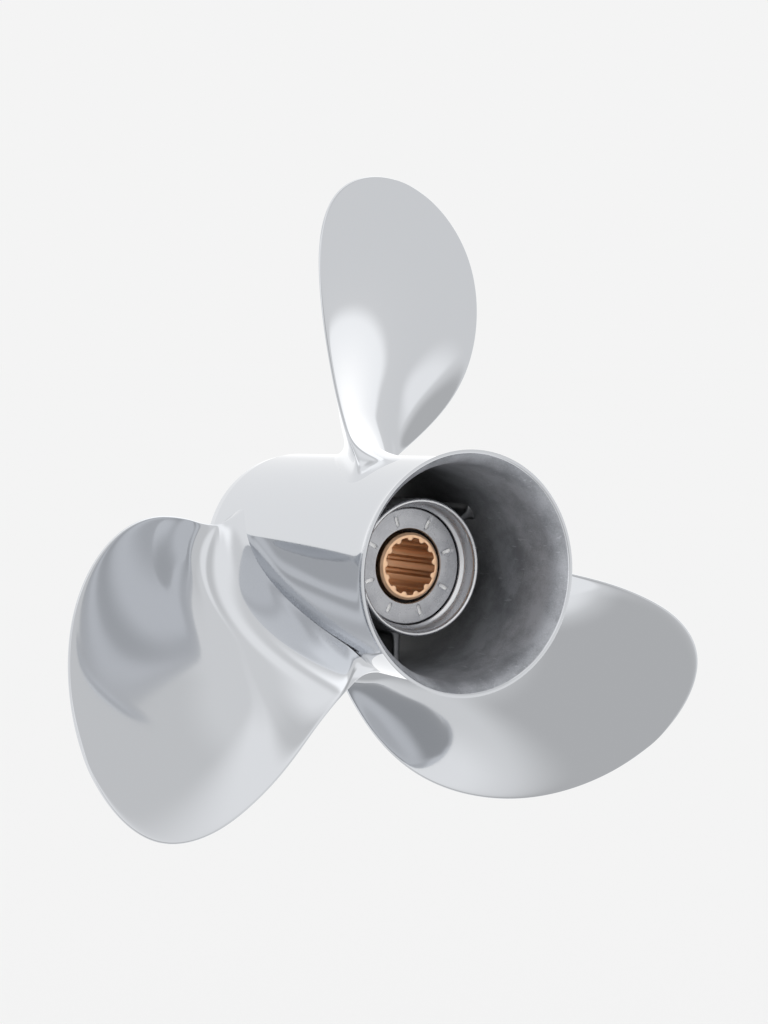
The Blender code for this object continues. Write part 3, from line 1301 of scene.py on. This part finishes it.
@dataclass
class EndRing:
    """The turned ring behind the rubber, with eight shallow radial slots."""

    rear: float = 44.2
    thickness: float = 3.0
    bore: float = 14.4
    outer: float = 22.6
    edge: float = 0.4
    slots: int = 8
    first_angle: float = 28.6
    slot_radii: Pair = (16.0, 20.0)
    slot_width: float = 1.5
    slot_depth: float = 1.0
    clearance: float = 0.5
    corners: int = 9
    broken: float = 0.12

    def key(self) -> list[Pair]:
        """Outline of one slot, with half-round ends.

        Returns:
            Points across and outwards.
        """
        half = 0.5 * self.slot_width
        low, high = self.slot_radii
        points = []
        for radius, start in ((high - half, 0.0), (low + half, 180.0)):
            for angle in np.radians(np.linspace(start, start + 180.0, self.corners)):
                points.append((half * math.cos(angle), radius + half * math.sin(angle)))
        return points

    def cutter(self) -> bpy.types.Object:
        """Round-ended keys all round the ring, a helper for its slots.

        Returns:
            The cutter.
        """
        stations = (self.rear - self.clearance, self.rear + self.slot_depth)
        sides = [[(x, station, z) for x, z in self.key()] for station in stations]
        bm = bmesh.new()
        for index in range(self.slots):
            rings = turned_to(sides, self.first_angle + index * 360.0 / self.slots)
            near, far = ([bm.verts.new(point) for point in ring] for ring in rings)
            bm.faces.new(near)
            bm.faces.new(far)
            band(bm, near, far)
        obj = bpy.data.objects.new("slot_cutter", finished_mesh(bm, "slot_cutter"))
        bpy.context.scene.collection.objects.link(obj)
        return obj

    def build(self) -> bpy.types.Object:
        """Turns the ring, cuts the slots, breaks their edges and applies it all.

        Returns:
            The piece.
        """
        front = self.rear + self.thickness
        edge = self.edge
        profile = [
            Corner(front, self.outer),
            Corner(self.rear + edge, self.outer),
            Corner(self.rear, self.outer - edge),
            Corner(self.rear, self.bore + edge),
            Corner(self.rear + edge, self.bore),
            Corner(front, self.bore),
        ]
        ring = turned_piece("slotted_ring", profile, TURNED, steps=160, levels=0)
        cutter = self.cutter()
        cut = ring.modifiers.new("slots", "BOOLEAN")
        cut.operation = "DIFFERENCE"
        cut.solver = "EXACT"
        cut.object = cutter
        broken_edges(ring, self.broken, sharpest=40.0)
        bpy.context.view_layer.update()
        graph = bpy.context.evaluated_depsgraph_get()
        mesh = bpy.data.meshes.new_from_object(ring.evaluated_get(graph))
        ring.modifiers.clear()
        ring.data = mesh
        mesh.shade_smooth()
        mesh.set_sharp_from_angle(angle=math.radians(30.0))
        bpy.data.objects.remove(cutter)
        return settled(ring, Body.WHEEL, Slot.TURNED, "hub_end_ring")


@dataclass
class RubberBush:
    """The rubber cushion, with crowned ends."""

    inner: float = 13.2
    outer: float = 22.7
    rear: float = 47.5
    front: float = 118.0
    crown: float = 0.5
    edge: float = 0.8

    def build(self) -> bpy.types.Object:
        """Turns the bush.

        Returns:
            The piece.
        """
        middle, edge = 0.5 * (self.inner + self.outer), self.edge
        profile = [
            Corner(self.front, middle),
            Corner(self.front - self.crown, self.outer, edge),
            Corner(self.rear + self.crown, self.outer, edge),
            Corner(self.rear, middle),
            Corner(self.rear + self.crown, self.inner, edge),
            Corner(self.front - self.crown, self.inner, edge),
        ]
        bush = turned_piece("rubber_cushion", profile, BOUND_RUBBER)
        return settled(bush, Body.CUSHION, Slot.RUBBER, "rubber_bushing")


@dataclass
class SplineSleeve:
    """The brass sleeve, with internal teeth that run out to both end faces.

    tooth is the outline of one tooth: a share of the pitch, and the share of its height there.
    """

    rear: float = 42.8
    front: float = 124.0
    radius: float = 13.1
    chamfer: float = 0.9
    teeth: int = 13
    major: float = 11.15
    minor: float = 9.85
    lead_in: float = 0.3
    broken: float = 0.10
    tooth: tuple[Pair, ...] = (
        (-0.38, 0.0),
        (-0.25, 0.06),
        (-0.18, 0.62),
        (-0.10, 1.0),
        (0.10, 1.0),
        (0.18, 0.62),
        (0.25, 0.06),
        (0.38, 0.0),
    )

    def bore(self) -> list[Pair]:
        """Outline of the toothed bore, whose first tooth points down from the top.

        Returns:
            (angle, radius) points, with the angle in radians.
        """
        pitch = math.radians(360.0 / self.teeth)
        points = []
        for index in range(self.teeth):
            for share, height in self.tooth:
                radius = self.major - (self.major - self.minor) * height
                points.append(((index + share) * pitch, radius))
        return points

    def ring(self, station: float, radius: float = 0.0, least: float = 0.0) -> list[Vector]:
        """One ring of the sleeve, with a point for each point of the bore.

        Args:
            station: where along the shaft.
            radius: its radius, or 0 to follow the teeth.
            least: the smallest radius along the teeth.

        Returns:
            The ring.
        """
        points = []
        for turn, toothed in self.bore():
            reach = radius or max(toothed, least)
            points.append(Vector((reach * math.sin(turn), station, reach * math.cos(turn))))
        return points

    def build(self) -> bpy.types.Object:
        """Skins the outside and the bore, and breaks the sharp edges.

        Returns:
            The piece.
        """
        cut, start = self.chamfer, self.lead_in
        opened = self.minor + start
        rings = [
            self.ring(self.rear, self.radius - cut),
            self.ring(self.rear + cut, self.radius),
            self.ring(self.front - cut, self.radius),
            self.ring(self.front, self.radius - cut),
            self.ring(self.front, least=opened),
            self.ring(self.front - start),
            self.ring(self.rear + start),
            self.ring(self.rear, least=opened),
        ]
        bm = bmesh.new()
        loops = [[bm.verts.new(point) for point in ring] for ring in rings]
        for near, far in zip(loops, loops[1:] + loops[:1]):
            band(bm, near, far)
        mesh = finished_mesh(bm, "brass_sleeve")
        mesh.shade_smooth()
        sleeve = shown(bpy.data.objects.new("brass_sleeve", mesh), BRASS)
        broken_edges(sleeve, self.broken, sharpest=35.0)
        return settled(sleeve, Body.SLEEVE, Slot.BRASS, "spline_sleeve")


# ---------------------------------------------------------------- studio


@dataclass
class Card:
    """One soft-edged patch of the studio, seen as a direction from the wheel.

    azimuth is measured from -Y towards +X and height is above the horizon, in degrees, as the
    other views name theirs. level is the patch's brightness.
    """

    # azimuth is measured from -Y towards +X and height is above the horizon, in degrees. level is
    # the patch's brightness.
    azimuth: float
    height: float
    half_width: float
    half_height: float
    level: float
    soft: float = 4.0


@dataclass
class Studio:
    """Camera, floor and soft light.

    The camera stands back from the middle of the rear rim, and aside and above move it across its
    own view. Lengths are in metres, and angles in degrees. The floor is out of the wheel's
    reflections, and backdrop, ambient and surround are what the eye, matt surfaces and polished
    ones find round them.
    """

    lens: float = 103.8
    azimuth: float = -30.45
    elevation: float = 3.29
    roll: float = 0.26
    distance: float = 1.1060
    aside: float = -0.03185
    above: float = 0.02322
    rim: tuple[float, float, float] = (0.0, -0.124, 0.0)
    floor_height: float = -0.30
    floor_radius: float = 40.0
    backdrop: float = 0.905
    ambient: float = 0.975
    surround: float = 0.92
    cards: list[Card] = field(default_factory=list)

    def camera(self) -> None:
        """Sets up the camera at the viewing angle that the wheel is shown from."""
        a, e, r = (math.radians(v) for v in (self.azimuth, self.elevation, self.roll))
        back = Vector((math.sin(a) * math.cos(e), -math.cos(a) * math.cos(e), math.sin(e)))
        right = Vector((math.cos(a), math.sin(a), 0.0))
        up = back.cross(right)
        right, up = (
            math.cos(r) * right + math.sin(r) * up,
            math.cos(r) * up - math.sin(r) * right,
        )
        place = Vector(self.rim) + right * self.aside + up * self.above + back * self.distance
        data = bpy.data.cameras.new("camera")
        data.lens = self.lens
        data.clip_start, data.clip_end = 0.01, 200.0
        camera = bpy.data.objects.new("camera", data)
        turn = Matrix((right, up, back)).transposed()
        camera.matrix_world = Matrix.Translation(place) @ turn.to_4x4()
        bpy.context.scene.collection.objects.link(camera)
        bpy.context.scene.camera = camera

    def floor(self) -> None:
        """A wide pale disc under the wheel."""
        bm = bmesh.new()
        bmesh.ops.create_circle(bm, cap_ends=True, segments=96, radius=self.floor_radius)
        bmesh.ops.translate(bm, vec=(0.0, 0.0, self.floor_height), verts=bm.verts)
        mesh = bpy.data.meshes.new("studio_floor")
        bm.to_mesh(mesh)
        bm.free()
        obj = shown(bpy.data.objects.new("studio_floor", mesh), FLOOR)
        obj.visible_glossy = False

    def light(self) -> None:
        """A pale surround with soft cards in it, and an even backdrop behind the wheel."""
        world = bpy.data.worlds.new("studio")
        bpy.context.scene.world = world
        world.use_nodes = True
        sheet = Sheet(world.node_tree)
        x, y, z = sheet.split(sheet.node("ShaderNodeTexCoord").outputs["Generated"])
        to_degrees = 180.0 / math.pi
        azimuth = sheet.math("ARCTAN2", x, y * -1.0) * to_degrees
        height = sheet.math("ARCSINE", z) * to_degrees
        level: Number = self.surround
        for card in self.cards:
            turn = sheet.math("WRAP", azimuth - card.azimuth, 180.0, -180.0)
            beside = sheet.math("ABSOLUTE", turn).step(
                card.half_width + card.soft, card.half_width - card.soft
            )
            above = sheet.math("ABSOLUTE", height - card.height).step(
                card.half_height + card.soft, card.half_height - card.soft
            )
            share = beside * above
            level = (1.0 - share) * level + share * card.level
        path = sheet.node("ShaderNodeLightPath")
        seen = Amount(sheet, path.outputs["Is Camera Ray"])
        glossy = Amount(sheet, path.outputs["Is Glossy Ray"])
        strength = seen * self.backdrop + (1.0 - seen) * (
            glossy * level + (1.0 - glossy) * self.ambient
        )
        background = sheet.node(
            "ShaderNodeBackground", None, {"Color": grey(1.0), "Strength": strength}
        )
        sheet.node("ShaderNodeOutputWorld", None, {"Surface": background.outputs[0]})
        world.cycles.sampling_method = "NONE"
        bpy.context.scene.view_settings.view_transform = "Standard"

    def build(self) -> None:
        """Sets up the whole studio."""
        self.camera()
        self.floor()
        self.light()


# ---------------------------------------------------------------- assembly

STUDIO_CARDS = [
    Card(azimuth=180.0, height=20.0, half_width=50.0, half_height=60.0, level=1.08, soft=8.0),
    Card(azimuth=180.0, height=80.0, half_width=90.0, half_height=12.0, level=1.35, soft=8.0),
    Card(azimuth=-110.0, height=62.0, half_width=20.0, half_height=15.0, level=1.40, soft=8.0),
    Card(azimuth=-54.0, height=38.0, half_width=18.0, half_height=16.0, level=1.20, soft=8.0),
    Card(azimuth=-34.0, height=62.0, half_width=24.0, half_height=9.0, level=0.80, soft=7.0),
    Card(azimuth=-76.0, height=4.0, half_width=16.0, half_height=22.0, level=1.5, soft=7.0),
    Card(azimuth=-104.0, height=32.0, half_width=24.0, half_height=10.0, level=0.90, soft=8.0),
    Card(azimuth=-88.0, height=54.0, half_width=20.0, half_height=13.0, level=1.14, soft=8.0),
    Card(azimuth=42.0, height=37.0, half_width=30.0, half_height=22.0, level=0.81, soft=8.0),
    Card(azimuth=-10.0, height=42.0, half_width=18.0, half_height=36.0, level=1.12, soft=10.0),
    Card(azimuth=38.0, height=-16.0, half_width=18.0, half_height=10.0, level=1.10, soft=8.0),
    Card(azimuth=-10.0, height=-38.0, half_width=36.0, half_height=32.0, level=0.64, soft=8.0),
    Card(azimuth=0.0, height=-90.0, half_width=200.0, half_height=14.0, level=1.15, soft=5.0),
    Card(azimuth=98.0, height=-70.0, half_width=62.0, half_height=22.0, level=1.20, soft=4.0),
    Card(azimuth=127.0, height=-2.0, half_width=23.0, half_height=43.0, level=1.28, soft=4.0),
    Card(azimuth=165.0, height=-8.0, half_width=20.0, half_height=18.0, level=1.22, soft=6.0),
    Card(azimuth=116.0, height=42.0, half_width=24.0, half_height=36.0, level=1.55, soft=1.5),
]


def main() -> None:
    """Builds the studio and then every piece in order."""
    logging.basicConfig(level=logging.INFO, format="%(name)s: %(message)s")
    Studio(cards=STUDIO_CARDS).build()
    barrel = ExhaustBarrel()
    makers = [barrel, HubTube()]
    makers += [Rib(number, angle, barrel) for number, angle in enumerate((60, 180, 300), 1)]
    makers += [
        Blade(1, 0.0, barrel, mirrored=False),
        Blade(2, 120.0, barrel, mirrored=False),
        Blade(3, 240.0, barrel),
    ]
    makers += [EndRing(), RubberBush(), SplineSleeve()]
    for maker in makers:
        piece = maker.build()


if __name__ == "__main__":
    main()
